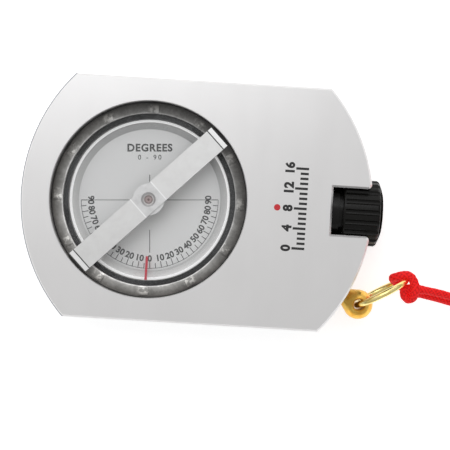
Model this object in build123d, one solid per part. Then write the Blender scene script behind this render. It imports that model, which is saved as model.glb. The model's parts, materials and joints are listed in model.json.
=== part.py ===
from build123d import *
import math
import os

# Hand-held clinometer: a solid aluminium block with a liquid capsule, in which a weighted dial hangs level,
# and an eyepiece that reads the scale on the dial's rim. Millimetres. The origin is the centre of the round
# stock on the flat back face; +X runs along the block to the eyepiece and +Z comes out of the dial's face.

# block: both ends are turned to the stock's radius, and the eyepiece end is turned back a little
STOCK_R = 37.5
END_BACK = 0.85
WIDTH = 51.25
THICK = 15.0
EDGE = 0.4
MID_Z = THICK / 2

# blind bore and the capsule in it
BORE_X = -10.65
BORE_R = 20.75
BORE_LIP = 0.15
BACK_WALL = 2.0
CUP_R = 20.1
FLANGE_R = 20.65
CUP_INNER_R = 18.35
CUP_FLOOR = 1.2
FLANGE_Z = 11.0
CUP_TOP = 12.0
COVER_Z = 10.9
SEAL_INNER_R = 17.3
SEAL_Z = 10.3
STUD_COUNT = 12
STUD_AT = 19.4
STUD_RADIAL, STUD_WIDE, STUD_TALL = 1.7, 1.9, 0.45
PLUG_R, PLUG_AT = 0.9, 13.0

# dial wheel that turns in the capsule
WHEEL_R = 17.15
WHEEL_INNER_R = 16.7
WHEEL_LOW, WHEEL_TOP = 4.6, 9.9
WEB_LOW, WEB_TOP = 8.5, 9.3
DIAL_R = 15.15
DIAL_TOP = 9.6
BAND_THICK, BAND_INSET_LOW, BAND_INSET_TOP = 0.08, 0.4, 0.6
SHAFT_R = 0.4
SHAFT_TIP = 0.2
SHAFT_LOW, SHAFT_HIGH = 2.75, 11.45
HUB_R = 1.6
HUB_COLLAR, HUB_COLLAR_TALL, HUB_PROUD = 0.9, 1.2, 0.3
WEIGHT_R_OUT, WEIGHT_R_IN = 15.6, 8.5
WEIGHT_LOW, WEIGHT_TOP = 5.6, 8.5
WEIGHT_TOP_Y = -3.0
# the block lies turned by this much, and the dial hangs level in it
REST_TILT = 3.35

# pivot bearings
JEWEL_R = 1.15
REAR_CUP_R, REAR_JEWEL_R = 1.5, 0.9
JEWEL_SOCKET = 0.9
JEWEL_SUNK = 0.6
FIT = 0.05

# bridge bar over the capsule
BAR_ANGLE = 45
BAR_WIDTH = 5.1
BAR_HALF = 19.95
BAR_LOW, BAR_TOP = 12.6, 14.4
BAR_HUB_R, BAR_HUB_STEP = 3.35, 0.5
BAR_FOOT_START = 18.45
BAR_SCORE_R, BAR_SCORE_WIDE, BAR_SCORE_DEEP = 18.85, 0.22, 0.18
BAR_CREASE_R, BAR_CREASE_WIDE, BAR_CREASE_DEEP = 2.85, 0.25, 0.05

# index line under the cover, a little beside the pivot
INDEX_IN, INDEX_OUT = 12.05, 17.1
INDEX_SIDE = 0.22
INDEX_WIDTH, INDEX_TALL = 0.5, 0.25

# sight along X at half thickness
NOTCH_X = 28.1
NOTCH_WIDE = 10.0
NOTCH_MOUTH_R = 0.9
POCKET_R = 7.4
BARREL_R = 7.12
SIGHT_BORE_R = 4.6
SLEEVE_IN_R = 3.4
SLEEVE_START, SLEEVE_END = 20.0, 33.0
TUBE_START, TUBE_IN_R, FIELD_STOP_R, TUBE_LIP = 11.9, 3.9, 2.2, 0.6
RETICLE_THICK = 0.8
O_RING_X, O_RING_R, O_RING_THICK, O_RING_SEAT = 31.2, 4.2, 0.36, 0.45
KEY_X, KEY_R, KEY_TALL, KEY_SUNK = 29.5, 0.38, 0.9, 0.25
KEYWAY_LONG, KEYWAY_WIDE, KEYWAY_Z = 4.4, 0.9, 4.0
FLUTES = 20
FLUTE_R, FLUTE_DEEP = 0.62, 0.42
BARREL_START, NECK_END, GROOVE_END = 28.25, 29.7, 30.5
BARREL_EDGE, BARREL_TIP_EDGE = 0.25, 0.3
BARREL_TIP = 39.8
DOME_R = 16.0
NECK_R, GROOVE_R = 6.3, 5.75
MOUTH_R, HOLE_R = 4.6, 2.9
SNAP_X, SNAP_R, SNAP_IN_R, SNAP_THICK, SNAP_GAP = 34.1, 5.25, 3.75, 0.3, 1.6
CELL_R, CELL_IN_R = 4.45, 2.6
CELL_START, FLANGE_START, CELL_END = 25.1, 34.55, 36.2
LENS_R, LENS_SEAT, LENS_EDGE, LENS_BULGE, LENS_CURVE_R = 3.8, 0.55, 0.65, 0.62, 5.2

# lanyard eye: a cross-drilled ball on a conical neck, in the edge of the eyepiece end
EYE_ANGLE = -28.5
EYE_DIST = 41.3
BALL_R = 3.2
EYE_HOLE_R, EYE_HOLE_EDGE = 1.15, 0.4
SEAT_DIST, SEAT_SPOT = 37.4, 6.0
NECK_TURN, NECK_FOOT_R = 31, 1.5
SHANK_R, SHANK_END = 1.2, 31.5

# ring and cord
RING_ANGLE = 30
RING_R = 5.9
WIRE_R = 0.65
RING_OFFSET = 5.65
CORD_D = 1.75
HITCH_AT = (11.5, -1.15, 0.2)
HITCH_SIZE = (5.6, 7.5, 5.0)
HITCH_ROUND = 2.2
COIL_AT = (71.5, -6.5)
COIL_R_IN, COIL_R_OUT, COIL_TALL, COIL_ROUND = 4.9, 13.2, 7.1, 1.2
# the two strands leave the hitch side by side, sink to the surface and end one above the other in the coil
STRAND_A = [
    (48.2, -16.6, 6.6), (52.2, -17.3, 5.7), (56.8, -18.4, 3.4), (61.6, -19.0, 1.6), (66.2, -18.7, 0.89),
]
STRAND_B = [
    (48.7, -15.7, 8.1), (52.6, -16.15, 7.2), (57.0, -17.3, 5.3), (61.6, -18.4, 3.6), (66.2, -18.6, 2.75),
]
KNOT_TURN = 112
KNOT_SIZE = (5.6, 7.0, 4.6)
KNOT_ROUND = 1.9


def ring(r_out, r_in, low, high, x=0.0, y=0.0):
    """A round tube along Z between two heights."""
    body = Cylinder(r_out, high - low, align=(Align.CENTER, Align.CENTER, Align.MIN))
    if r_in:
        body -= Cylinder(r_in, high - low, align=(Align.CENTER, Align.CENTER, Align.MIN))
    return Pos(x, y, low) * body


def rod(radius, start, end):
    """A round bar on the sight's axis, from start to end along X."""
    bar = Cylinder(radius, end - start, align=(Align.CENTER, Align.CENTER, Align.MIN))
    return Pos(start, 0, MID_Z) * Rot(0, 90, 0) * bar


def tube(r_out, r_in, start, end):
    return rod(r_out, start, end) - rod(r_in, start, end)


def block_blank():
    """The turned disc, cut by two flats and a slot for the fingers, with its upper and lower edges broken."""
    outline = Circle(STOCK_R) & Pos(-END_BACK, 0) * Circle(STOCK_R) & Rectangle(4 * STOCK_R, WIDTH)
    outline -= Pos(NOTCH_X + STOCK_R / 2, 0) * Rectangle(STOCK_R, NOTCH_WIDE)
    mouth = outline.vertices().filter_by(lambda v: v.X > NOTCH_X + 1 and abs(v.Y) < NOTCH_WIDE)
    blank = extrude(fillet(mouth, NOTCH_MOUTH_R), THICK)
    return chamfer(blank.faces().filter_by(Axis.Z).edges(), EDGE)


def eye_frame():
    """Local X runs outward through the lanyard eye, at half thickness."""
    return Pos(-END_BACK, 0, MID_Z) * Rot(0, 0, EYE_ANGLE)


def body_block():
    block = block_blank()
    block -= Pos(BORE_X, 0, BACK_WALL) * Cylinder(BORE_R, THICK, align=(Align.CENTER, Align.CENTER, Align.MIN))
    lip = Cone(BORE_R, BORE_R + BORE_LIP, BORE_LIP, align=(Align.CENTER, Align.CENTER, Align.MIN))
    block -= Pos(BORE_X, 0, THICK - BORE_LIP) * lip
    block -= rod(POCKET_R, NOTCH_X, STOCK_R + 5)
    block -= rod(SIGHT_BORE_R, BORE_X + BORE_R - 1, NOTCH_X + 1)
    block -= eye_frame() * Pos(SEAT_DIST + 5, 0, 0) * Box(10, SEAT_SPOT, SEAT_SPOT)
    shank_len = SEAT_DIST + 1 - SHANK_END
    shank = Cylinder(SHANK_R, shank_len, align=(Align.CENTER, Align.CENTER, Align.MIN))
    block -= eye_frame() * Pos(SHANK_END, 0, 0) * Rot(0, 90, 0) * shank
    return block


def capsule_cup():
    low = BACK_WALL
    cup = ring(CUP_R, 0, low, CUP_TOP, BORE_X) - ring(CUP_INNER_R, 0, low + CUP_FLOOR, CUP_TOP, BORE_X)
    cup += ring(FLANGE_R, CUP_R - 0.5, FLANGE_Z, CUP_TOP, BORE_X)
    for k in range(STUD_COUNT):
        stud = Pos(STUD_AT, 0, CUP_TOP + STUD_TALL / 2) * Box(STUD_RADIAL, STUD_WIDE, STUD_TALL)
        cup += Pos(BORE_X, 0, 0) * Rot(0, 0, k * 360 / STUD_COUNT) * stud
    cup -= ring(REAR_CUP_R, 0, low, low + CUP_FLOOR, BORE_X)
    cup -= ring(PLUG_R, 0, low, low + CUP_FLOOR, BORE_X, PLUG_AT)
    return cup


def capsule_cover():
    cover = ring(CUP_INNER_R, JEWEL_R, COVER_Z, CUP_TOP, BORE_X)
    return cover + ring(BAR_HUB_R, JEWEL_R, CUP_TOP, BAR_LOW, BORE_X)


def capsule_seal():
    return ring(CUP_INNER_R, SEAL_INNER_R, SEAL_Z, COVER_Z, BORE_X)


def fill_plug():
    return ring(PLUG_R, 0, BACK_WALL, BACK_WALL + CUP_FLOOR, BORE_X, PLUG_AT)


def index_line():
    long = INDEX_OUT - INDEX_IN
    line = Box(INDEX_WIDTH, long, INDEX_TALL, align=(Align.CENTER, Align.MIN, Align.MAX))
    return Pos(BORE_X + INDEX_SIDE, -INDEX_OUT, COVER_Z) * line


def bridge_bar():
    """The bar over the capsule, seated on the cup's rim at both ends, with a round hub."""
    bar = Pos(0, 0, BAR_LOW) * Box(2 * BAR_HALF, BAR_WIDTH, BAR_TOP - BAR_LOW,
                                  align=(Align.CENTER, Align.CENTER, Align.MIN))
    bar += ring(BAR_HUB_R, 0, BAR_LOW, BAR_TOP - BAR_HUB_STEP)
    for side in (-1, 1):
        foot = Box(BAR_HALF - BAR_FOOT_START, BAR_WIDTH, BAR_LOW - CUP_TOP)
        bar += Pos(side * (BAR_HALF + BAR_FOOT_START) / 2, 0, (CUP_TOP + BAR_LOW) / 2) * foot
        bar -= Pos(side * BAR_SCORE_R, 0, BAR_TOP) * Box(BAR_SCORE_WIDE, BAR_WIDTH, 2 * BAR_SCORE_DEEP)
        bar -= Pos(side * BAR_CREASE_R, 0, BAR_TOP) * Box(BAR_CREASE_WIDE, BAR_WIDTH, 2 * BAR_CREASE_DEEP)
    bar -= ring(JEWEL_R, 0, BAR_LOW, BAR_TOP)
    edge = Cone(JEWEL_R, JEWEL_R + EDGE, EDGE, align=(Align.CENTER, Align.CENTER, Align.MIN))
    bar -= Pos(0, 0, BAR_TOP - EDGE) * edge
    return Pos(BORE_X, 0, 0) * Rot(0, 0, BAR_ANGLE) * bar


def front_jewel():
    jewel = ring(JEWEL_R, 0, COVER_Z, BAR_TOP - JEWEL_SUNK, BORE_X)
    return jewel - ring(SHAFT_R + FIT, 0, COVER_Z, COVER_Z + JEWEL_SOCKET, BORE_X)


def rear_jewel():
    return ring(REAR_JEWEL_R, SHAFT_R + FIT, BACK_WALL + CUP_FLOOR / 3, BACK_WALL + CUP_FLOOR, BORE_X)


def rear_bearing_cup():
    setting = ring(REAR_CUP_R, 0, BACK_WALL, BACK_WALL + CUP_FLOOR, BORE_X)
    return setting - ring(REAR_JEWEL_R, 0, BACK_WALL + CUP_FLOOR / 3, BACK_WALL + CUP_FLOOR, BORE_X)


def dial_wheel():
    """A shallow drum: the rim carries the sighting scale and the web carries the dial plate."""
    wheel = ring(WHEEL_R, WHEEL_INNER_R, WHEEL_LOW, WHEEL_TOP, BORE_X)
    wheel += ring((WHEEL_R + WHEEL_INNER_R) / 2, HUB_R, WEB_LOW, WEB_TOP, BORE_X)
    return wheel


def dial_face():
    return ring(DIAL_R, HUB_R, WEB_TOP, DIAL_TOP, BORE_X)


def rim_scale_band():
    """The printed film around the wheel, which the eyepiece looks at."""
    return ring(WHEEL_R + BAND_THICK, WHEEL_R, WHEEL_LOW + BAND_INSET_LOW, WHEEL_TOP - BAND_INSET_TOP, BORE_X)


def dial_hub():
    hub = ring(HUB_R, SHAFT_R, WEB_LOW - HUB_COLLAR_TALL, DIAL_TOP + HUB_PROUD, BORE_X)
    return hub + ring(HUB_R + HUB_COLLAR, HUB_R, WEB_LOW - HUB_COLLAR_TALL, WEB_LOW, BORE_X)


def dial_counterweight():
    """A segment of a ring under the web, on the side that hangs down."""
    weight = ring(WEIGHT_R_OUT, WEIGHT_R_IN, WEIGHT_LOW, WEIGHT_TOP)
    half = Box(2 * WEIGHT_R_OUT, WEIGHT_R_OUT, THICK, align=(Align.CENTER, Align.MAX, Align.MIN))
    weight &= Pos(0, WEIGHT_TOP_Y, 0) * half
    return Pos(BORE_X, 0, 0) * Rot(0, 0, REST_TILT) * weight


def pivot_shaft():
    shaft = ring(SHAFT_R, 0, SHAFT_LOW, SHAFT_HIGH, BORE_X)
    tips = shaft.faces().filter_by(GeomType.PLANE).edges()
    return chamfer(tips, SHAFT_TIP)


def eyepiece_sleeve():
    """The fixed sleeve in the block, which the barrel turns on, with a keyway along its top."""
    sleeve = tube(SIGHT_BORE_R, SLEEVE_IN_R, SLEEVE_START, SLEEVE_END)
    groove = tube(SIGHT_BORE_R + 1, SIGHT_BORE_R - 0.8, O_RING_X - O_RING_SEAT, O_RING_X + O_RING_SEAT)
    keyway = Box(KEYWAY_LONG, KEYWAY_WIDE, 2, align=(Align.MAX, Align.CENTER, Align.CENTER))
    return sleeve - groove - Pos(SLEEVE_END, 0, MID_Z + KEYWAY_Z) * keyway


def focus_o_ring():
    """A friction ring in the sleeve's groove, cut where the guide key passes."""
    hoop = Pos(O_RING_X, 0, MID_Z) * Rot(0, 90, 0) * Torus(O_RING_R, O_RING_THICK)
    return hoop - Pos(O_RING_X, 0, MID_Z + KEYWAY_Z) * Box(2, KEYWAY_WIDE + 0.2, 2)


def sight_tube():
    body = tube(SIGHT_BORE_R - FIT, TUBE_IN_R, TUBE_START, SLEEVE_START)
    return body + tube(SIGHT_BORE_R - FIT, FIELD_STOP_R, TUBE_START, TUBE_START + TUBE_LIP)


def reticle_disc():
    start = TUBE_START + TUBE_LIP
    return rod(TUBE_IN_R - FIT, start, start + RETICLE_THICK)


def lens_cell():
    """The tube that slides in the sleeve; its flange is held in the barrel and carries the lens."""
    cell = tube(SLEEVE_IN_R - FIT, CELL_IN_R, CELL_START, FLANGE_START + 0.3)
    cell += tube(CELL_R, CELL_IN_R, FLANGE_START, CELL_END)
    return cell - rod(LENS_R, FLANGE_START + LENS_SEAT, CELL_END)


def guide_key():
    """The pin on the lens cell that runs in the sleeve's keyway and stops the lens turning."""
    pin = Cylinder(KEY_R, KEY_TALL, align=(Align.CENTER, Align.CENTER, Align.MIN))
    return Pos(KEY_X, 0, MID_Z + SLEEVE_IN_R - FIT - KEY_SUNK) * pin


def eyepiece_lens():
    """A plano-convex lens with its curved side to the scale."""
    seat = FLANGE_START + LENS_SEAT
    edge = rod(LENS_R, seat, seat + LENS_EDGE)
    bulge = Pos(seat - LENS_BULGE + LENS_CURVE_R, 0, MID_Z) * Sphere(LENS_CURVE_R)
    return edge + (bulge & rod(CELL_IN_R - 0.1, seat - 1, seat + 0.1))


def lens_retainer():
    return tube(LENS_R, HOLE_R + 0.1, FLANGE_START + LENS_SEAT + LENS_EDGE, CELL_END)


def eyepiece_barrel():
    """The fluted focusing barrel: neck, groove, grip and a domed end with a conical sight hole."""
    def dome_x(radius):
        return BARREL_TIP - DOME_R + math.sqrt(DOME_R**2 - radius**2)

    bore_r = SIGHT_BORE_R + FIT
    step_x = CELL_END + FIT
    groove_x, groove_long, groove_r = SNAP_X - SNAP_THICK / 2 - FIT, SNAP_THICK + 2 * FIT, SNAP_R + FIT
    wall = Polyline(
        (dome_x(MOUTH_R), MOUTH_R), (step_x + 0.6, HOLE_R), (step_x, HOLE_R), (step_x, bore_r),
        (groove_x + groove_long, bore_r), (groove_x + groove_long, groove_r),
        (groove_x, groove_r), (groove_x, bore_r),
        (BARREL_START, bore_r), (BARREL_START, NECK_R), (NECK_END, NECK_R), (NECK_END, GROOVE_R),
        (GROOVE_END, GROOVE_R), (GROOVE_END, BARREL_R - BARREL_EDGE), (GROOVE_END + BARREL_EDGE, BARREL_R),
        (dome_x(BARREL_R) - BARREL_TIP_EDGE, BARREL_R),
        (dome_x(BARREL_R - BARREL_TIP_EDGE), BARREL_R - BARREL_TIP_EDGE),
    )
    mid_r = (BARREL_R + MOUTH_R) / 2
    dome = ThreePointArc(wall @ 1, (dome_x(mid_r), mid_r), wall @ 0)
    barrel = Pos(0, 0, MID_Z) * revolve(make_face(wall + dome), Axis.X)
    for k in range(FLUTES):
        cutter = Cylinder(FLUTE_R, BARREL_TIP - GROOVE_END, align=(Align.CENTER, Align.CENTER, Align.MIN))
        lie = Pos(GROOVE_END + 0.5, 0, BARREL_R + FLUTE_R - FLUTE_DEEP) * Rot(0, 90, 0)
        barrel -= Pos(0, 0, MID_Z) * Rot(k * 360 / FLUTES, 0, 0) * lie * cutter
    return barrel


def barrel_snap_ring():
    """The split ring in the barrel's groove, behind the lens cell's flange."""
    hoop = tube(SNAP_R, SNAP_IN_R, SNAP_X - SNAP_THICK / 2, SNAP_X + SNAP_THICK / 2)
    return hoop - Pos(SNAP_X, 0, MID_Z - SNAP_R + 1) * Box(2, SNAP_GAP, 3)


def ball_eye():
    """A cross-drilled brass ball whose conical neck stands on the block's edge, with a shank in the block."""
    turn = math.radians(NECK_TURN)
    cone_x, cone_r = BALL_R * math.sin(turn), BALL_R * math.cos(turn)
    foot_x = EYE_DIST - SEAT_DIST
    outline = Polyline((0, 0), (0, BALL_R), (cone_x, cone_r), (foot_x, NECK_FOOT_R), (foot_x, 0), (0, 0))
    cone = revolve(make_face(outline), Axis.X)
    shank = Cylinder(SHANK_R, SEAT_DIST - SHANK_END, align=(Align.CENTER, Align.CENTER, Align.MIN))
    eye = Pos(EYE_DIST, 0, 0) * (Sphere(BALL_R) + Rot(0, 0, 180) * cone)
    eye += Pos(SHANK_END, 0, 0) * Rot(0, 90, 0) * shank
    eye -= Pos(EYE_DIST, 0, 0) * Cylinder(EYE_HOLE_R, 4 * BALL_R)
    mouth = Cone(EYE_HOLE_R, EYE_HOLE_R + 2 * EYE_HOLE_EDGE, 2 * EYE_HOLE_EDGE,
                 align=(Align.CENTER, Align.CENTER, Align.MIN))
    half_hole = math.sqrt(BALL_R**2 - EYE_HOLE_R**2)
    for flip in (0, 180):
        eye -= Pos(EYE_DIST, 0, 0) * Rot(flip, 0, 0) * Pos(0, 0, half_hole - EYE_HOLE_EDGE) * mouth
    return eye_frame() * eye


def ring_frame():
    """The ring's own plane is local XZ, with the hole's axis at the origin."""
    x = EYE_DIST * math.cos(math.radians(EYE_ANGLE)) - END_BACK
    y = EYE_DIST * math.sin(math.radians(EYE_ANGLE))
    return Pos(x, y, MID_Z) * Rot(0, 0, RING_ANGLE)


def lanyard_ring():
    return ring_frame() * Pos(RING_OFFSET, 0, 0) * Rot(90, 0, 0) * Torus(RING_R, WIRE_R)


def lanyard_hitch():
    """The space that the cord's hitch fills around the ring's far side."""
    blob = Pos(*HITCH_AT) * fillet(Box(*HITCH_SIZE).edges(), HITCH_ROUND)
    return (ring_frame() * blob) - lanyard_ring()


def tangent_radii(points):
    """The largest arc that each corner's two runs have room for."""
    radii = []
    for a, b, c in zip(points, points[1:], points[2:]):
        run_in, run_out = Vector(*b) - Vector(*a), Vector(*c) - Vector(*b)
        half = math.radians(run_in.get_angle(run_out)) / 2
        radii.append(0.45 * min(run_in.length, run_out.length) / math.tan(half))
    return radii


def strand(name, points):
    radii = tangent_radii(points)
    path = FilletPolyline(*points, radius=radii)
    start = Plane(origin=path @ 0, z_dir=path % 0)
    body = sweep(start * Circle(CORD_D / 2), path=path)
    section = math.pi * CORD_D**2 / 4
    print(name, "arc radii", [round(r, 1) for r in radii], "length", round(path.length, 2),
          "volume ratio", round(body.volume / section / path.length, 4))
    return body


def lanyard_coil():
    """The wound-up part of both strands: a round coil lying flat."""
    coil = ring(COIL_R_OUT, COIL_R_IN, 0, COIL_TALL, *COIL_AT)
    return fillet(coil.edges().filter_by(GeomType.CIRCLE), COIL_ROUND)


def lanyard_knot():
    """The knot that joins the two ends, lying against the coil."""
    knot = fillet(Box(*KNOT_SIZE, align=(Align.MIN, Align.CENTER, Align.MIN)).edges(), KNOT_ROUND)
    return Pos(COIL_AT[0], COIL_AT[1], 0) * Rot(0, 0, KNOT_TURN) * Pos(COIL_R_OUT, 0, 0) * knot


def build():
    os.makedirs("parts", exist_ok=True)
    nodes = {
        "body_block": body_block(),
        "capsule_cup": capsule_cup(),
        "capsule_cover": capsule_cover(),
        "capsule_seal": capsule_seal(),
        "capsule_fill_plug": fill_plug(),
        "index_line": index_line(),
        "bridge_bar": bridge_bar(),
        "front_jewel": front_jewel(),
        "rear_jewel": rear_jewel(),
        "rear_bearing_cup": rear_bearing_cup(),
        "dial_wheel": dial_wheel(),
        "dial_face": dial_face(),
        "rim_scale_band": rim_scale_band(),
        "dial_hub": dial_hub(),
        "dial_counterweight": dial_counterweight(),
        "pivot_shaft": pivot_shaft(),
        "eyepiece_sleeve": eyepiece_sleeve(),
        "focus_o_ring": focus_o_ring(),
        "sight_tube": sight_tube(),
        "reticle_disc": reticle_disc(),
        "lens_cell": lens_cell(),
        "guide_key": guide_key(),
        "eyepiece_lens": eyepiece_lens(),
        "lens_retainer": lens_retainer(),
        "eyepiece_barrel": eyepiece_barrel(),
        "barrel_snap_ring": barrel_snap_ring(),
        "ball_eye": ball_eye(),
        "lanyard_ring": lanyard_ring(),
        "lanyard_hitch": lanyard_hitch(),
        "lanyard_strand_a": strand("lanyard_strand_a", STRAND_A),
        "lanyard_strand_b": strand("lanyard_strand_b", STRAND_B),
        "lanyard_coil": lanyard_coil(),
        "lanyard_knot": lanyard_knot(),
    }
    for name, shape in nodes.items():
        export_step(shape, f"parts/{name}.step")


build()
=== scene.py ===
import json
import math

import bpy
import bmesh
from mathutils import Matrix, Vector


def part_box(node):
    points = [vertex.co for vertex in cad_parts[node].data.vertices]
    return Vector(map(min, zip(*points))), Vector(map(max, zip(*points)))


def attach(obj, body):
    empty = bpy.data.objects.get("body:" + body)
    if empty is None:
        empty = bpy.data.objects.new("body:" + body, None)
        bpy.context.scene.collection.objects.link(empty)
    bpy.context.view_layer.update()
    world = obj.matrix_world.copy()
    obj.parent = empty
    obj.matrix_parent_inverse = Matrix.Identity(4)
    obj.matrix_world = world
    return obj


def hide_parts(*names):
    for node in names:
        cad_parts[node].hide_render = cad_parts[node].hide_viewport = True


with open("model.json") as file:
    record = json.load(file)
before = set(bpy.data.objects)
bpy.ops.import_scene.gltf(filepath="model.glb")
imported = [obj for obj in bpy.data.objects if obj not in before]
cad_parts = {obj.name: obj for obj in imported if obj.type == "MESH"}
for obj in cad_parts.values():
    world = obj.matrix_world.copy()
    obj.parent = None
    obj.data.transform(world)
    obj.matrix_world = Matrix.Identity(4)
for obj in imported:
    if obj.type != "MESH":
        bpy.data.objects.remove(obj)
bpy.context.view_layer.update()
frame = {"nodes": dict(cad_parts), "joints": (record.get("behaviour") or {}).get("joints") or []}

# Looks of the hand-held clinometer. Metres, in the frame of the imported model: +X to the eyepiece, +Z out of
# the dial's face, and the flat back on the floor at z = 0.

MM = 0.001
TILT = math.radians(3.5)  # the block lies turned clockwise by this much; the dial hangs level

block_low, block_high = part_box("body_block")
cup_low, cup_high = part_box("capsule_cup")
FACE_Z = block_high.z
END_R = -block_low.x  # the block's ends are arcs about the origin
CAPSULE_X = (cup_low.x + cup_high.x) / 2
CAPSULE_AT = (CAPSULE_X, 0, 0)
DIAL_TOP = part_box("dial_face")[1].z
EYE_JOINT = Vector(next(j["pos_m"] for j in frame["joints"] if j["name"] == "lanyard_swing"))


# ---------------------------------------------------------------- camera, light and floor

def show(obj):
    bpy.context.scene.collection.objects.link(obj)


def add_camera():
    """Straight down on the face, turned so that the dial is level."""
    view_x, view_y, view_width = 5.785 * MM, -4.38 * MM, 94.5 * MM
    data = bpy.data.cameras.new("camera")
    data.lens = 100
    data.sensor_width = 36
    data.clip_start = 0.005
    camera = bpy.data.objects.new("camera", data)
    camera.location = (view_x, view_y, FACE_Z + view_width * data.lens / data.sensor_width)
    camera.rotation_euler = (0, 0, TILT)
    show(camera)
    bpy.context.scene.camera = camera


def add_area(name, place, target, size, power, colour=(1, 1, 1)):
    data = bpy.data.lights.new(name, "AREA")
    data.shape = "RECTANGLE"
    data.size, data.size_y = size
    data.energy = power
    data.color = colour
    lamp = bpy.data.objects.new(name, data)
    lamp.location = place
    lamp.rotation_euler = (Vector(target) - Vector(place)).to_track_quat("-Z", "Y").to_euler()
    show(lamp)


def add_world():
    """A pale room: brightest high up beyond the dial's top, a little to its left, and dim at the horizon."""
    brightest = Vector((-0.30, 0.66, 0.69)).normalized()
    tones = ((0.0, 0.46), (0.35, 0.58), (0.70, 0.61), (0.86, 0.87))  # away from there, towards it
    horizon = (("From Min", -0.1), ("From Max", 0.35), ("To Min", 0.52), ("To Max", 1.0))
    world = bpy.data.worlds.new("room")
    world.use_nodes = True
    bpy.context.scene.world = world
    tree = world.node_tree
    tree.nodes.clear()
    place = tree.nodes.new("ShaderNodeTexCoord")
    lean = tree.nodes.new("ShaderNodeVectorMath")
    lean.operation = "DOT_PRODUCT"
    lean.inputs[1].default_value = brightest
    ramp = tree.nodes.new("ShaderNodeValToRGB")
    line = ramp.color_ramp.elements
    line.new(0.5)
    line.new(0.75)
    for element, (at, tone) in zip(line, tones):
        element.position = at
        element.color = (tone, tone, tone, 1)
    split = tree.nodes.new("ShaderNodeSeparateXYZ")
    haze = tree.nodes.new("ShaderNodeMapRange")
    for key, number in horizon:
        haze.inputs[key].default_value = number
    shade = tree.nodes.new("ShaderNodeBackground")
    out = tree.nodes.new("ShaderNodeOutputWorld")
    tree.links.new(place.outputs["Generated"], split.inputs[0])
    tree.links.new(split.outputs["Z"], haze.inputs["Value"])
    tree.links.new(haze.outputs[0], shade.inputs["Strength"])
    tree.links.new(place.outputs["Generated"], lean.inputs[0])
    tree.links.new(lean.outputs["Value"], ramp.inputs[0])
    tree.links.new(ramp.outputs["Color"], shade.inputs["Color"])
    tree.links.new(shade.outputs[0], out.inputs["Surface"])


def add_floor():
    """White paper that glows a little, but for the small spot that the ball's hole looks on to, painted tan
    as shade and without glow.
    """
    radius, depth, glow = 0.9, 0.02 * MM, 0.62
    white, tan = grey(0.80), (0.76, 0.53, 0.28)
    mesh = bpy.data.meshes.new("floor")
    bm = bmesh.new()
    bmesh.ops.create_circle(bm, cap_ends=True, radius=radius, segments=96)
    bmesh.ops.translate(bm, verts=bm.verts, vec=(0, 0, -depth))
    bm.to_mesh(mesh)
    bm.free()
    floor = bpy.data.objects.new("floor", mesh)
    show(floor)
    s = Surface("floor_paper", white, rough=0.9)
    s.bump(s.noise(900, 4), 0.02, 0.0002)
    below_hole = tuple(EYE_JOINT + Vector((0.8, -0.4, 0)) * MM)
    # Painted shade: the small spot under the ball's hole gets no glow and a tan colour.
    off_shade_spot = s.range(s.radius_from(below_hole), 0.6 * MM, 1.6 * MM, 0.0, 1.0)
    s.glow(s.math("MULTIPLY", off_shade_spot, glow))
    s.colour(s.mix(off_shade_spot, tan, white))
    mesh.materials.append(s.material)


def add_lights():
    add_area("key_softbox", (-0.08, 0.26, 0.42), (0, 0, 0), (0.30, 0.30), 0.50, (0.97, 0.985, 1.0))
    add_area("rim_strip", (0.10, 0.34, 0.16), (0.02, 0, 0.01), (0.30, 0.06), 0.05)


# ---------------------------------------------------------------- materials

def grey(tone):
    return (tone, tone, tone)


def scaled(colour, gain):
    return tuple(min(1, gain * c) for c in colour)


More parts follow.
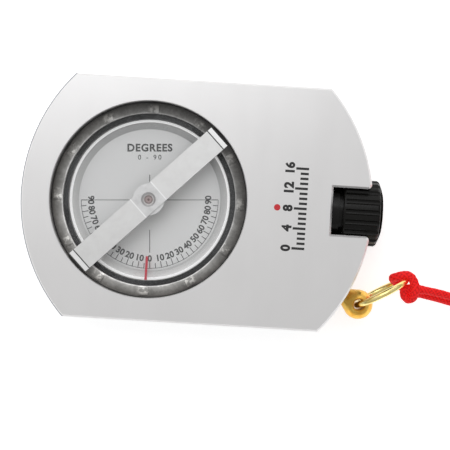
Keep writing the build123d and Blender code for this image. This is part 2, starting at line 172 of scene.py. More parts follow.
class Surface:
    """A Principled material with a few helpers for procedural detail, in object coordinates (metres)."""

    def __init__(self, name, colour, metal=0.0, rough=0.5):
        self.material = bpy.data.materials.new(name)
        self.material.use_nodes = True
        self.tree = self.material.node_tree
        self.shader = next(n for n in self.tree.nodes if n.type == "BSDF_PRINCIPLED")
        self.place = self.add("ShaderNodeTexCoord").outputs["Object"]
        self.set(**{"Base Color": (*colour, 1), "Metallic": metal, "Roughness": rough})
        self.last_normal = None

    def add(self, kind, **values):
        node = self.tree.nodes.new(kind)
        for key, value in values.items():
            setattr(node, key, value)
        return node

    def set(self, **values):
        for key, value in values.items():
            self.shader.inputs[key].default_value = value

    def link(self, start, end):
        self.tree.links.new(start, end)

    def axes(self):
        """The object coordinates, as outputs X, Y and Z."""
        split = self.add("ShaderNodeSeparateXYZ")
        self.link(self.place, split.inputs[0])
        return split.outputs

    def math(self, operation, a, b=0.0):
        node = self.add("ShaderNodeMath", operation=operation)
        for socket, value in zip(node.inputs, (a, b)):
            if isinstance(value, (int, float)):
                socket.default_value = value
            else:
                self.link(value, socket)
        return node.outputs[0]

    def noise(self, scale, detail, stretch=(1, 1, 1)):
        mapping = self.add("ShaderNodeMapping")
        mapping.inputs["Scale"].default_value = stretch
        self.link(self.place, mapping.inputs["Vector"])
        node = self.add("ShaderNodeTexNoise")
        node.inputs["Scale"].default_value = scale
        node.inputs["Detail"].default_value = detail
        node.inputs["Roughness"].default_value = 0.55
        self.link(mapping.outputs[0], node.inputs["Vector"])
        return node.outputs["Fac"]

    def range(self, value, low, high, to_low, to_high):
        node = self.add("ShaderNodeMapRange")
        for key, number in (("From Min", low), ("From Max", high), ("To Min", to_low), ("To Max", to_high)):
            node.inputs[key].default_value = number
        self.link(value, node.inputs["Value"])
        return node.outputs[0]

    def stripe(self, value, at, full, none):
        """1 where value is within full of at, falling to 0 where it is none away from it."""
        away = self.math("ABSOLUTE", self.math("SUBTRACT", value, at))
        return self.range(away, full, none, 1.0, 0.0)

    def ramp(self, value, stops):
        """A colour ramp; stops are (position, (r, g, b))."""
        node = self.add("ShaderNodeValToRGB")
        line = node.color_ramp.elements
        while len(line) < len(stops):
            line.new(0.5)
        for element, (position, colour) in zip(line, stops):
            element.position = position
            element.color = (*colour, 1)
        self.link(value, node.inputs[0])
        return node.outputs["Color"]

    def mix(self, factor, a, b):
        node = self.add("ShaderNodeMix", data_type="RGBA")
        for socket, value in zip((node.inputs[0], node.inputs[6], node.inputs[7]), (factor, a, b)):
            if isinstance(value, (int, float)):
                socket.default_value = value
            elif isinstance(value, tuple):
                socket.default_value = (*value, 1)
            else:
                self.link(value, socket)
        return node.outputs[2]

    def colour(self, value):
        self.link(value, self.shader.inputs["Base Color"])

    def rough(self, value):
        self.link(value, self.shader.inputs["Roughness"])

    def glow(self, strength):
        """A white glow, as strong as the socket says."""
        self.set(**{"Emission Color": (1, 1, 1, 1)})
        self.link(strength, self.shader.inputs["Emission Strength"])

    def bump(self, height, strength, distance):
        node = self.add("ShaderNodeBump")
        node.inputs["Strength"].default_value = strength
        node.inputs["Distance"].default_value = distance
        self.link(height, node.inputs["Height"])
        if self.last_normal:
            self.link(self.last_normal, node.inputs["Normal"])
        self.last_normal = node.outputs[0]
        self.link(self.last_normal, self.shader.inputs["Normal"])

    def offset(self, centre):
        """The vector from centre."""
        shift = self.add("ShaderNodeVectorMath", operation="SUBTRACT")
        self.link(self.place, shift.inputs[0])
        shift.inputs[1].default_value = centre
        return shift.outputs[0]

    def radius_from(self, centre):
        """Distance from the upright line through centre, in metres."""
        flat = self.add("ShaderNodeVectorMath", operation="MULTIPLY")
        self.link(self.offset(centre), flat.inputs[0])
        flat.inputs[1].default_value = (1, 1, 0)
        size = self.add("ShaderNodeVectorMath", operation="LENGTH")
        self.link(flat.outputs[0], size.inputs[0])
        return size.outputs["Value"]


def anodised(name, colour, rough):
    """Clear-anodised aluminium: satin grain, slow changes in sheen, faint rubs, and milled sides painted
    duller and darker as shade.

    The edge of the left end is painted darker as shade.
    """
    s = Surface(name, colour, metal=1.0, rough=rough)
    grain = s.noise(9000, 2)
    cloud = s.noise(55, 3)
    rub = s.noise(260, 4, stretch=(1.0, 0.15, 1.0))
    tone = s.mix(s.range(cloud, 0.3, 0.7, 0.0, 1.0), scaled(colour, 0.965), colour)
    tone = s.mix(s.range(rub, 0.62, 0.80, 0.0, 0.35), tone, scaled(colour, 1.05))
    axes = s.axes()
    milled = s.noise(700, 3, stretch=(1.0, 1.0, 0.05))
    # Painted shade: the milled sides below the face's edge get a darker colour than the face.
    side = s.mix(s.range(milled, 0.35, 0.65, 0.0, 1.0), (0.60, 0.605, 0.61), (0.70, 0.70, 0.705))
    above_sides = s.range(axes["Z"], FACE_Z - 0.55 * MM, FACE_Z - 0.42 * MM, 0.0, 1.0)
    tone = s.mix(above_sides, side, tone)
    # Painted shade: a dark line along the edge of the left end.
    at_shaded_edge = s.range(s.radius_from((0, 0, 0)), END_R - 0.32 * MM, END_R - 0.16 * MM, 0.0, 0.9)
    on_left = s.range(axes["X"], -20 * MM, -16 * MM, 1.0, 0.0)
    edge = s.math("MULTIPLY", s.math("MULTIPLY", at_shaded_edge, on_left), above_sides)
    s.colour(s.mix(edge, tone, (0.28, 0.29, 0.32)))
    satin = s.range(grain, 0.3, 0.7, rough - 0.03, rough + 0.03)
    s.rough(s.math("ADD", satin, s.range(rub, 0.4, 0.8, 0.0, -0.04)))
    s.bump(grain, 0.10, 0.00001)
    s.bump(rub, 0.05, 0.00001)
    return s.material


def clear_ring():
    """The moulded cup: smoky, paler towards its inner lip and at its studs, and darkening outward into
    painted shade at the bore's edge; painted light and shade make it brighter towards the lower left and
    darker towards the upper right.
    """
    s = Surface("smoky_acrylic", (0.15, 0.14, 0.13), rough=0.22)
    r = s.radius_from(CAPSULE_AT)
    across_wall = s.range(r, 18.0 * MM, 21.0 * MM, 0.0, 1.0)
    wavy = s.math("ADD", across_wall, s.range(s.noise(620, 4), 0.3, 0.7, -0.03, 0.03))
    # Painted shade: the ring darkens outward towards the bore's edge.
    smoke_and_shade_profile = s.ramp(wavy, [
        (0.0, (0.50, 0.49, 0.48)), (0.15, (0.58, 0.57, 0.56)), (0.21, (0.30, 0.295, 0.285)),
        (0.34, (0.22, 0.215, 0.205)), (0.52, (0.155, 0.15, 0.142)), (0.70, (0.098, 0.093, 0.087)),
        (0.80, (0.075, 0.071, 0.066)), (0.90, (0.030, 0.028, 0.026)),
    ])
    axes = s.axes()
    half = 20 * MM
    # Painted light and shade: brighter towards the lower left, darker towards the upper right.
    painted_shade_to_right = s.range(axes["X"], CAPSULE_X - half, CAPSULE_X + half, 0.20, -0.46)
    painted_light_side = s.math("ADD", painted_shade_to_right, s.range(axes["Y"], -half, half, 1.90, 0.80))
    patch = s.range(s.noise(260, 3), 0.38, 0.62, 0.84, 1.14)
    speck = s.range(s.noise(1700, 5), 0.38, 0.66, 0.88, 1.12)
    cloudy_and_painted_light = s.math("MULTIPLY", painted_light_side, patch)
    gain = s.math("MULTIPLY", cloudy_and_painted_light, s.math("MULTIPLY", speck, stud_gain(s, axes, r)))
    brightened = s.add("ShaderNodeVectorMath", operation="SCALE")
    s.link(smoke_and_shade_profile, brightened.inputs[0])
    s.link(gain, brightened.inputs["Scale"])
    s.colour(brightened.outputs[0])
    s.rough(s.range(s.noise(900, 3), 0.3, 0.7, 0.16, 0.36))
    s.bump(s.noise(1400, 3), 0.15, 0.00003)
    s.set(**{"Coat Weight": 0.3, "Coat Roughness": 0.12, "IOR": 1.45, "Specular IOR Level": 0.35})
    return s.material


def stud_gain(s, axes, r):
    """Soft paler blotches where the studs stand on the cup's rim."""
    studs, studs_r = 12.0, 19.35 * MM
    x = s.math("SUBTRACT", axes["X"], CAPSULE_X)
    turn = s.math("ARCTAN2", axes["Y"], x)
    wave = s.math("COSINE", s.math("MULTIPLY", turn, studs))
    band = s.stripe(r, studs_r, 0.45 * MM, 1.0 * MM)
    streak = s.range(s.noise(1000, 3), 0.46, 0.56, 0.10, 1.5)
    at_studs = s.math("MULTIPLY", s.range(wave, 0.55, 0.90, 0.0, 1.0), band)
    return s.math("ADD", 1.0, s.math("MULTIPLY", at_studs, streak))


def clear_cover():
    """Clear acrylic: nearly invisible from above, with polished reflections."""
    s = Surface("clear_acrylic", (0.60, 0.61, 0.61), rough=0.04)
    s.rough(s.range(s.noise(500, 3), 0.3, 0.7, 0.02, 0.08))
    s.bump(s.noise(120, 2), 0.02, 0.00005)
    s.set(Alpha=0.06, IOR=1.49)
    return s.material


def wheel_paint():
    """The wheel: a turned lip painted bright as a highlight and glowing a little as painted light, and a
    greyer step inside it, painted darker towards the top as shade.
    """
    s = Surface("wheel_grey", (0.40, 0.41, 0.41), rough=0.4)
    # Painted shade: the step is darker towards the top.
    shade_towards_top = s.range(s.axes()["Y"], -14 * MM, 14 * MM, 0.0, 1.0)
    step = s.mix(shade_towards_top, (0.74, 0.735, 0.73), grey(0.36))
    # Painted highlight: the lip is near white.
    lip = s.range(s.radius_from(CAPSULE_AT), 16.62 * MM, 16.68 * MM, 0.0, 1.0)
    base = s.mix(lip, step, grey(0.97))
    s.colour(s.mix(s.range(s.noise(700, 3), 0.35, 0.65, 0.0, 0.10), base, grey(0.6)))
    # Painted light: the lip glows.
    s.glow(s.math("MULTIPLY", lip, 0.30))
    s.bump(s.noise(5000, 2), 0.08, 0.00001)
    return s.material


def dial_paint():
    """Matt grey screen-printed plate, painted a little darker towards its edge as shade."""
    s = Surface("dial_grey", grey(0.80), rough=0.55)
    # Painted shade: the plate darkens towards its edge.
    tone = s.ramp(s.range(s.radius_from(CAPSULE_AT), 0.0, 16.5 * MM, 0.0, 1.0), [
        (0.0, (0.84, 0.84, 0.835)), (0.80, grey(0.84)), (0.90, grey(0.80)), (1.0, (0.62, 0.625, 0.63)),
    ])
    s.colour(s.mix(s.range(s.noise(2500, 3), 0.35, 0.65, 0.0, 0.10), tone, grey(0.74)))
    s.rough(s.range(s.noise(3500, 2), 0.3, 0.7, 0.48, 0.62))
    s.bump(s.noise(7000, 2), 0.10, 0.00001)
    return s.material


def bar_metal():
    """Satin bar with a scored line near each end painted dark as shade in its groove, polished beyond it, a
    painted highlight along the crease by the hub, and a cloudier zone at the hub.
    """
    bar_lean = math.radians(45)
    hub_r, crease_highlight_at, score_at = 2.75 * MM, 2.85 * MM, 18.85 * MM
    s = Surface("satin_bar", grey(0.80), metal=1.0, rough=0.36)
    lean = s.add("ShaderNodeVectorMath", operation="DOT_PRODUCT")
    s.link(s.offset(CAPSULE_AT), lean.inputs[0])
    lean.inputs[1].default_value = (math.cos(bar_lean), math.sin(bar_lean), 0)
    along = s.math("ABSOLUTE", lean.outputs["Value"])
    cloud = s.range(s.noise(520, 4), 0.32, 0.68, 0.0, 1.0)
    satin = s.mix(cloud, (0.81, 0.81, 0.805), (0.76, 0.755, 0.75))
    hub = s.range(along, hub_r, hub_r + 0.05 * MM, 1.0, 0.0)
    tone = s.mix(hub, satin, s.mix(cloud, grey(0.82), grey(0.66)))
    # Painted highlight: a bright stripe along the crease by the hub.
    tone = s.mix(s.stripe(along, crease_highlight_at, 0.10 * MM, 0.16 * MM), tone, grey(0.96))
    polished = s.range(along, score_at + 0.05 * MM, score_at + 0.10 * MM, 0.0, 1.0)
    tone = s.mix(polished, tone, grey(0.93))
    # Painted shade: the scored line is dark.
    s.colour(s.mix(s.stripe(along, score_at, 0.09 * MM, 0.13 * MM), tone, grey(0.06)))
    grain = s.noise(9000, 2)
    s.rough(s.range(grain, 0.3, 0.7, 0.32, 0.40))
    s.bump(grain, 0.10, 0.00001)
    return s.material


def ink(name, colour):
    """Screen-printed ink, worn paler in small spots."""
    s = Surface(name, colour, rough=0.5)
    worn = tuple(c + 0.10 for c in colour)
    s.colour(s.mix(s.range(s.noise(5200, 3), 0.5, 0.75, 0.0, 0.25), colour, worn))
    s.bump(s.noise(9000, 2), 0.1, 0.00001)
    return s.material


def turned_metal(name, colour, rough, blotch):
    """Turned brass or plated wire with oxide blotches and fine tool marks."""
    s = Surface(name, colour, metal=1.0, rough=rough)
    s.colour(s.mix(s.range(s.noise(650, 4), 0.42, 0.68, 0.0, 1.0), colour, blotch))
    s.rough(s.range(s.noise(1500, 3), 0.3, 0.7, rough - 0.06, rough + 0.10))
    s.bump(s.noise(2600, 3, stretch=(1, 1, 6)), 0.12, 0.00002)
    return s.material


def ball_brass():
    """Turned brass, painted browner as shade in and round the cross hole, and duller there."""
    s = Surface("ball_brass", (0.84, 0.42, 0.08), metal=1.0, rough=0.32)
    hole = s.range(s.radius_from(tuple(EYE_JOINT)), 1.15 * MM, 1.75 * MM, 1.0, 0.0)
    spots = s.mix(s.range(s.noise(520, 4), 0.42, 0.66, 0.0, 1.0), (1.0, 0.64, 0.14), (0.90, 0.45, 0.06))
    # Painted shade: browner in and round the cross hole.
    s.colour(s.mix(hole, spots, (0.80, 0.44, 0.08)))
    s.rough(s.math("ADD", s.range(s.noise(1500, 3), 0.3, 0.7, 0.26, 0.42), s.math("MULTIPLY", hole, 0.2)))
    s.bump(s.noise(2600, 3, stretch=(1, 1, 6)), 0.12, 0.00002)
    return s.material


def black_plastic():
    """Moulded black barrel: glossy lands that catch the softbox, dust in the grain and a domed end whose
    reflection is turned off as painted shade.
    """
    s = Surface("black_plastic", grey(0.004), rough=0.24)
    dust = s.range(s.noise(2600, 4), 0.60, 0.78, 0.0, 0.4)
    s.colour(s.mix(dust, (0.004, 0.0036, 0.003), (0.035, 0.032, 0.028)))
    s.rough(s.range(s.noise(700, 3), 0.3, 0.7, 0.20, 0.32))
    s.bump(s.noise(6500, 2), 0.14, 0.00002)
    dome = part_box("eyepiece_barrel")[1].x - 1.1 * MM
    # Painted shade: the reflection fades out over the domed end.
    gloss_off_as_dome_shade = s.range(s.axes()["X"], dome, dome + 0.4 * MM, 0.22, 0.0)
    s.link(gloss_off_as_dome_shade, s.shader.inputs["Specular IOR Level"])
    return s.material


def plain(name, colour, metal, rough, grain=4000):
    """An inner piece's finish: one colour with slow darker clouds and a fine grain."""
    s = Surface(name, colour, metal=metal, rough=rough)
    s.colour(s.mix(s.range(s.noise(grain / 8, 3), 0.35, 0.65, 0.0, 0.5), colour, scaled(colour, 0.85)))
    s.rough(s.range(s.noise(grain, 2), 0.3, 0.7, max(0.02, rough - 0.05), rough + 0.06))
    s.bump(s.noise(grain, 2), 0.1, 0.00001)
    return s.material


def lens_glass():
    """Coated optical glass."""
    s = Surface("optical_glass", (0.93, 0.97, 0.96), rough=0.02)
    s.rough(s.range(s.noise(800, 2), 0.3, 0.7, 0.0, 0.04))
    s.set(Alpha=0.25, IOR=1.52)
    s.set(**{"Coat Weight": 1.0, "Coat Tint": (0.75, 0.85, 1.0, 1)})
    return s.material


def ruby():
    """A jewel in its setting: dull red rings with the dark pivot in the middle and a bright edge."""
    s = Surface("ruby_jewel", (0.36, 0.23, 0.21), rough=0.14)
    ring_tone = s.ramp(s.range(s.radius_from(CAPSULE_AT), 0.0, 1.2 * MM, 0.0, 1.0), [
        (0.0, (0.10, 0.07, 0.07)), (0.18, (0.14, 0.10, 0.10)), (0.30, (0.44, 0.35, 0.34)),
        (0.52, (0.34, 0.27, 0.27)), (0.70, (0.12, 0.10, 0.10)), (0.80, (0.60, 0.58, 0.57)),
        (1.0, (0.80, 0.79, 0.79)),
    ])
    s.colour(s.mix(s.range(s.noise(2400, 3), 0.4, 0.7, 0.0, 0.4), ring_tone, (0.5, 0.40, 0.38)))
    s.bump(s.noise(1800, 2), 0.15, 0.00004)
    s.set(**{"Coat Weight": 0.6, "Coat Roughness": 0.04})
    return s.material


def red_yarn():
    """Red yarn, painted darker as shade in the hollows of the weave, with a little glow to keep its shaded
    side red.
    """
    s = Surface("red_yarn", (0.90, 0.012, 0.012), rough=0.62)
    fibre = s.noise(7000, 4)
    yarn = s.mix(s.range(fibre, 0.35, 0.75, 0.0, 1.0), (0.86, 0.006, 0.008), (1.0, 0.030, 0.026))
    weave = s.add("ShaderNodeAttribute", attribute_name="weave").outputs["Fac"]
    # Painted shade: the hollows of the weave get a darker red.
    s.colour(s.mix(s.range(weave, 0.45, 0.90, 1.0, 0.0), yarn, (0.50, 0.003, 0.005)))
    s.bump(fibre, 0.35, 0.00006)
    s.set(**{"Sheen Weight": 0.12, "Sheen Roughness": 0.4, "Sheen Tint": (1.0, 0.20, 0.18, 1)})
    s.set(**{"Specular IOR Level": 0.25})
    s.set(**{"Emission Color": (1.0, 0.008, 0.006, 1), "Emission Strength": 0.16})
    return s.material


def paint(obj, material):
    """Give an object this one material."""
    obj.data.materials.clear()
    obj.data.materials.append(material)


def paint_cad():
    """Every CAD node that stays visible gets its own finish."""
    brass = turned_metal("turned_brass", (0.84, 0.50, 0.13), 0.30, (0.50, 0.24, 0.05))
    steel = plain("bright_steel", (0.62, 0.62, 0.63), 1.0, 0.25)
    black_metal = plain("blackened_metal", (0.02, 0.02, 0.021), 0.0, 0.55)
    rubber = plain("seal_rubber", (0.018, 0.018, 0.020), 0.0, 0.45, 3000)
    glass = lens_glass()
    finishes = {
        "body_block": anodised("anodised_block", (0.862, 0.852, 0.850), 0.34),
        "bridge_bar": bar_metal(),
        "capsule_cup": clear_ring(),
        "capsule_cover": clear_cover(),
        "capsule_seal": rubber,
        "capsule_fill_plug": rubber,
        "index_line": ink("red_index_ink", (0.62, 0.05, 0.08)),
        "front_jewel": ruby(),
        "rear_jewel": ruby(),
        "rear_bearing_cup": brass,
        "dial_wheel": wheel_paint(),
        "dial_face": dial_paint(),
        "rim_scale_band": plain("scale_film", (0.85, 0.85, 0.83), 0.0, 0.4),
        "dial_hub": brass,
        "dial_counterweight": plain("weight_metal", (0.45, 0.45, 0.46), 1.0, 0.4),
        "pivot_shaft": steel,
        "eyepiece_sleeve": black_metal,
        "focus_o_ring": rubber,
        "sight_tube": black_metal,
        "reticle_disc": glass,
        "lens_cell": black_metal,
        "guide_key": steel,
        "eyepiece_lens": glass,
        "lens_retainer": black_metal,
        "eyepiece_barrel": black_plastic(),
        "barrel_snap_ring": steel,
        "ball_eye": ball_brass(),
        "lanyard_ring": turned_metal("gold_wire", (1.0, 0.85, 0.37), 0.16, (0.92, 0.70, 0.22)),
    }
    for node, material in finishes.items():
        paint(frame["nodes"][node], material)


# ---------------------------------------------------------------- prints

def join(name, parts, body, material):
    """One mesh object from a bmesh, riding on a body."""
    mesh = bpy.data.meshes.new(name)
    parts.to_mesh(mesh)
    parts.free()
    obj = bpy.data.objects.new(name, mesh)
    show(obj)
    paint(obj, material)
    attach(obj, body)


def mesh_of(curve):
    """The mesh that a curve or a text makes; the curve itself is removed."""
    holder = bpy.data.objects.new(curve.name, curve)
    show(holder)
    mesh = bpy.data.meshes.new_from_object(holder)
    bpy.data.objects.remove(holder)
    bpy.data.curves.remove(curve)
    return mesh


def moved(x, y, z=0.0):
    return Matrix.Translation((x, y, z))


def turned(angle):
    """A turn about the face's normal."""
    return Matrix.Rotation(angle, 4, "Z")


INK = 0.015 * MM  # the prints' thickness
QUARTER_TURN = math.radians(90)
LEVEL = moved(CAPSULE_X, 0, DIAL_TOP) @ turned(TILT)  # the dial's middle, with X level and Y straight up


def add_line(bm, place, long, wide):
    """A printed line, centred on the place, long along its X."""
    scale = Matrix.Diagonal((long, wide, INK, 1))
    bmesh.ops.create_cube(bm, size=1.0, matrix=place @ moved(0, 0, INK / 2) @ scale)


def add_text(bm, words, place, tall, bold=0.0, spread=1.0):
    """Printed characters, centred on the place, as tall as asked."""
    curve = bpy.data.curves.new("words", "FONT")
    curve.body = words
    curve.align_x = "CENTER"
    curve.align_y = "CENTER"
    curve.size = 1.0
    curve.resolution_u = 4
    curve.offset = bold
    curve.space_character = spread
    curve.extrude = 0.5
    mesh = mesh_of(curve)
    heights = [v.co.y for v in mesh.vertices]
    low, high = min(heights), max(heights)
    grow = tall / (high - low)
    mesh.transform(place @ Matrix.Diagonal((grow, grow, INK, 1)) @ moved(0, -(high + low) / 2, 0.5))
    bm.from_mesh(mesh)
    bpy.data.meshes.remove(mesh)


def dial_place(degrees, radius):
    """A place on the dial, counted from straight down, anticlockwise; its X runs outward."""
    return LEVEL @ turned(math.radians(degrees) - QUARTER_TURN) @ moved(radius, 0)


def dial_print(material):
    """The level line, the plumb line, the 90-0-90 scale and its numerals, on the dial plate."""
    scale_r, arc_r, numeral_r = 14.7 * MM, 14.67 * MM, 12.55 * MM
    tick_wide, arc_wide, arc_steps = 0.16 * MM, 0.11 * MM, 180
    marks = bmesh.new()
    for degrees in range(-90, 91, 5):
        long = (1.4 if degrees % 10 == 0 else 1.1) * MM
        add_line(marks, dial_place(degrees, scale_r - long / 2), long, tick_wide)
    for k in range(arc_steps):
        degrees = -90 + 180 * (k + 0.5) / arc_steps
        add_line(marks, dial_place(degrees, arc_r), arc_wide, 0.262 * MM)
    for degrees, middle, long, wide in ((-90, 8.85, 11.7, 0.13), (90, 8.85, 11.7, 0.13),
                                        (0, 8.85, 4.9, 0.15), (180, 4.35, 2.1, 0.15)):
        add_line(marks, dial_place(degrees, middle * MM), long * MM, wide * MM)
    join("dial_scale_marks", marks, "dial", material)
    numbers = bmesh.new()
    for degrees in range(-90, 91, 10):
        place = dial_place(degrees, numeral_r) @ turned(QUARTER_TURN)
        add_text(numbers, str(abs(degrees)), place, 1.42 * MM, bold=0.034)
    join("dial_numerals", numbers, "dial", material)
    words = bmesh.new()
    add_text(words, "DEGREES", LEVEL @ moved(0, 11.2 * MM), 1.7 * MM, bold=0.035, spread=1.12)
    add_text(words, "0 - 90", LEVEL @ moved(0, 9.15 * MM), 1.05 * MM, bold=0.01, spread=1.45)
    join("dial_words", words, "dial", material)


def face_print(material, red):
    """A short bold scale down the block's face, with a red mark beside its middle."""
    right, half_long = 22.7 * MM, 8.4 * MM
    last = 16
    numeral_x, dot_x, dot_r = right - 4.0 * MM, right - 6.2 * MM, 0.68 * MM
    marks = bmesh.new()
    for k in range(last + 1):
        y = half_long * (2 * k / last - 1)
        long = (2.7 if k % 4 == 0 else 1.7) * MM
        add_line(marks, moved(right - long / 2, y, FACE_Z), long, 0.50 * MM)
        if k % 4 == 0:
            add_text(marks, str(k), moved(numeral_x, y, FACE_Z) @ turned(QUARTER_TURN), 2.1 * MM, bold=0.05)
    join("face_scale_print", marks, "housing", material)
    dot = bmesh.new()
    bmesh.ops.create_cone(dot, cap_ends=True, segments=48, radius1=dot_r, radius2=dot_r, depth=INK,
                          matrix=moved(dot_x, 0, FACE_Z + INK / 2))
    join("face_red_dot", dot, "housing", red)


# ---------------------------------------------------------------- cord

CORD_D = 1.75 * MM
LOW_Z = 0.89  # height of the lowest turns' middle, in millimetres
LAYER = 1.80  # from one layer of the coil to the next, in millimetres
COIL_AT = Vector((71.5, -6.5, 0)) * MM
# the strands' routes from the hitch to the coil, in millimetres
STRAND_A = [
    (48.2, -16.6, 6.6), (52.2, -17.3, 5.7), (56.8, -18.4, 3.4), (61.6, -19.0, 1.6), (66.2, -18.7, 0.89),
]
STRAND_B = [
    (48.7, -15.7, 8.1), (52.6, -16.15, 7.2), (57.0, -17.3, 5.3), (61.6, -18.4, 3.6), (66.2, -18.6, 2.75),
]
TURNS, TURNS_IN, CLIMB_FROM = 6.45, 3.35, 3.0  # all turns, those that run inward, and where the climb starts
PITCH, OUTER_R = 1.8 * MM, 12.1 * MM
POINTS_PER_TURN = 16


def ease(x):
    """A smooth step from 0 to 1."""
    x = max(0.0, min(1.0, x))
    return x * x * (3 - 2 * x)


def flat_axes(degrees):
    """A level direction at that many degrees from +X, and the one a quarter turn left of it."""
    angle = math.radians(degrees)
    return Vector((math.cos(angle), math.sin(angle), 0)), Vector((-math.sin(angle), math.cos(angle), 0))


def coil_points(low_z):
    """The coil's turns: a flat spiral inward, a climb at its eye and a second spiral outward on top."""
    count = round(TURNS * POINTS_PER_TURN)
    slack = 0.65 * MM  # the upper spiral lies a little further out
    start = -QUARTER_TURN
    points = []
    for k in range(1, count + 1):
        turn = TURNS * k / count
        spiral = OUTER_R - PITCH * min(turn, TURNS_IN) + PITCH * max(0.0, turn - TURNS_IN)
        radius = spiral + slack * ease((turn - TURNS_IN) / 0.5)
        z = low_z + 2 * LAYER * MM * ease((turn - CLIMB_FROM) / (TURNS_IN - CLIMB_FROM))
        angle = start + 2 * math.pi * turn
        points.append(COIL_AT + Vector((radius * math.cos(angle), radius * math.sin(angle), z)))
    return points


def tail_points(lift):
    """From the coil's last turn into the knot beside it."""
    points = []
    for degrees, radius, z in ((84, 12.9, 4.4), (96, 14.1, 3.6), (106, 15.3, 2.7)):
        outward, _ = flat_axes(degrees)
        points.append(COIL_AT + outward * radius * MM + Vector((0, 0, z * MM + lift)))
    return points


def spline_line(points, name):
    """The points of a smooth NURBS line with those control points."""
    curve = bpy.data.curves.new(name, "CURVE")
    curve.dimensions = "3D"
    curve.resolution_u = 8
    spline = curve.splines.new("NURBS")
    spline.points.add(len(points) - 1)
    for point, place in zip(spline.points, points):
        point.co = (*place, 1)
    spline.order_u = 3
    spline.use_endpoint_u = True
    mesh = mesh_of(curve)
    line = [v.co.copy() for v in mesh.vertices]
    bpy.data.meshes.remove(mesh)
    return line


def even(line, step):
    """The same line with points step apart."""
    total = sum((b - a).length for a, b in zip(line, line[1:]))
    count = max(2, round(total / step))
    gap = total / count
    made, k, walked = [line[0].copy()], 0, 0.0
    for n in range(1, count):
        want = n * gap
        while walked + (line[k + 1] - line[k]).length < want:
            walked += (line[k + 1] - line[k]).length
            k += 1
        share = (want - walked) / (line[k + 1] - line[k]).length
        made.append(line[k].lerp(line[k + 1], share))
    made.append(line[-1].copy())
    return made


def braid_height(around, along):
    """Height, 0 to 1, of a braid whose two sets of yarns cross; around in turns, along in cord diameters."""
    carriers, pitch = 6, 3.1
    left = around * carriers + along * carriers / pitch
    right = around * carriers - along * carriers / pitch
    ridge_a = math.sin(math.pi * (left % 1.0)) ** 0.6
    ridge_b = math.sin(math.pi * (right % 1.0)) ** 0.6
    over = 0.5 + 0.5 * math.sin(math.pi * right)
    return max(ridge_a * (0.55 + 0.45 * over), ridge_b * (1.0 - 0.45 * over))


def braided(name, line, swell=1.0):
    """A braided cord as a mesh tube round the line, with rounded ends.

    Each point keeps its height in the weave, for the yarn's colour. The points along the cord come back too.
    """
    around, step = 32, 0.12 * MM
    relief, tip = 0.16, 0.05
    points = even(line, step)
    last = len(points) - 1
    verts, faces, weave = [], [], []
    normal = (points[1] - points[0]).normalized().orthogonal().normalized()
    for k, place in enumerate(points):
        ahead = (points[min(k + 1, last)] - points[max(k - 1, 0)]).normalized()
        normal = (normal - ahead * normal.dot(ahead)).normalized()
        side = ahead.cross(normal)
        from_end = min(1.0, min(k, last - k) * step / (CORD_D / 2))
        taper = max(tip, math.sqrt(1 - (1 - from_end) ** 2))
        for j in range(around):
            turn = 2 * math.pi * j / around
            height = braid_height(j / around, k * step / CORD_D)
            radius = CORD_D / 2 * swell * (1 - relief + relief * height) * taper
            weave.append(height)
            verts.append(place + (normal * math.cos(turn) + side * math.sin(turn)) * radius)
    for k in range(last):
        for j in range(around):
            a, b = k * around + j, k * around + (j + 1) % around
            faces.append((a, b, b + around, a + around))
    faces.append(tuple(reversed(range(around))))
    faces.append(tuple(last * around + j for j in range(around)))
    mesh = bpy.data.meshes.new(name)
    mesh.from_pydata(verts, [], faces)
    mesh.polygons.foreach_set("use_smooth", [True] * len(mesh.polygons))
    mesh.attributes.new("weave", "FLOAT", "POINT").data.foreach_set("value", weave)
    obj = bpy.data.objects.new(name, mesh)
    show(obj)
    return obj, points


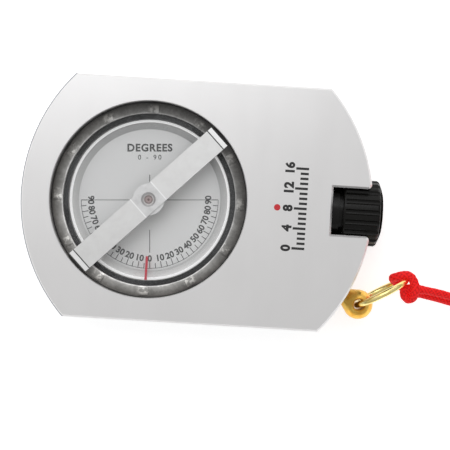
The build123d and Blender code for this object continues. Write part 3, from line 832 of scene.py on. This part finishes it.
# the hitch's route: outward from the ring's hole axis, across the ring's plane and up, in millimetres
HITCH = [
    (13.57, -4.50, -1.18), (12.60, -3.69, -0.9), (11.9, -2.9, -1.2), (11.0, -1.9, -1.3),
    (10.2, -0.8, -1.3), (9.7, 0.4, -1.2), (9.3, 1.4, -0.6), (9.3, 1.75, 0.5), (9.9, 1.65, 1.3),
    (11.0, 1.5, 1.6), (12.1, 1.10, 1.65), (12.75, 0.3, 1.6), (12.85, -0.7, 1.6), (12.75, -1.6, 1.7),
    (12.4, -2.6, 1.9), (11.7, -3.5, 1.6), (10.9, -4.0, 1.0), (10.1, -3.9, 0.6), (9.8, -3.0, 0.4),
    (10.05, -1.95, 0.3), (11.1, -1.75, 0.2), (12.2, -2.2, 0.5), (13.48, -3.16, 0.6), (14.50, -3.92, 0.31),
]


def hitch_points():
    out, across = flat_axes(30)
    up = Vector((0, 0, 1))
    return [EYE_JOINT + (out * u + across * n + up * w) * MM for u, n, w in HITCH]


def knot_points():
    """An overhand knot, as an almost closed trefoil at the two strands' ends."""
    wide, high = 0.62 * MM, 1.25 * MM
    count, share = 40, 0.97
    outward, along = flat_axes(112)
    up = Vector((0, 0, 1))
    centre = COIL_AT + outward * 16.0 * MM + up * 2.35 * MM
    points = []
    for k in range(count):
        t = 2 * math.pi * share * k / (count - 1)
        x = math.sin(t) + 2 * math.sin(2 * t)
        y = math.cos(t) - 2 * math.cos(2 * t)
        points.append(centre + (outward * y + along * x) * wide - up * math.sin(3 * t) * high)
    return points


def add_cord():
    """The doubled cord: the hitch on the ring, two strands in one coil, and the knot at their ends."""
    yarn = red_yarn()
    hitch, _ = braided("lanyard_hitch_loops", spline_line(hitch_points(), "hitch_line"), swell=1.12)
    knot, _ = braided("lanyard_end_knot", spline_line(knot_points(), "knot_line"))
    for piece, node in ((hitch, "lanyard_hitch"), (knot, "lanyard_knot")):
        paint(piece, yarn)
        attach(piece, "lanyard")
        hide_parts(node)
    for name, route, lift in (("lanyard_cord_a", STRAND_A, 0.0), ("lanyard_cord_b", STRAND_B, LAYER)):
        coil, tail = coil_points((LOW_Z + lift) * MM), tail_points(lift * 0.6 * MM)
        line = spline_line([Vector(p) * MM for p in route] + coil + tail, name + "_line")
        strand, path = braided(name, line)
        paint(strand, yarn)
        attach(strand, "lanyard")
        if name.endswith("a"):
            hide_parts("lanyard_strand_a", "lanyard_coil")
        else:
            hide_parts("lanyard_strand_b")


add_world()
add_camera()
add_lights()
add_floor()
add_cord()
paint_cad()
dial_print(ink("dial_ink", grey(0.05)))
face_print(ink("black_ink", grey(0.012)), ink("red_ink", (0.62, 0.02, 0.03)))
bpy.context.scene.view_settings.view_transform = "Standard"
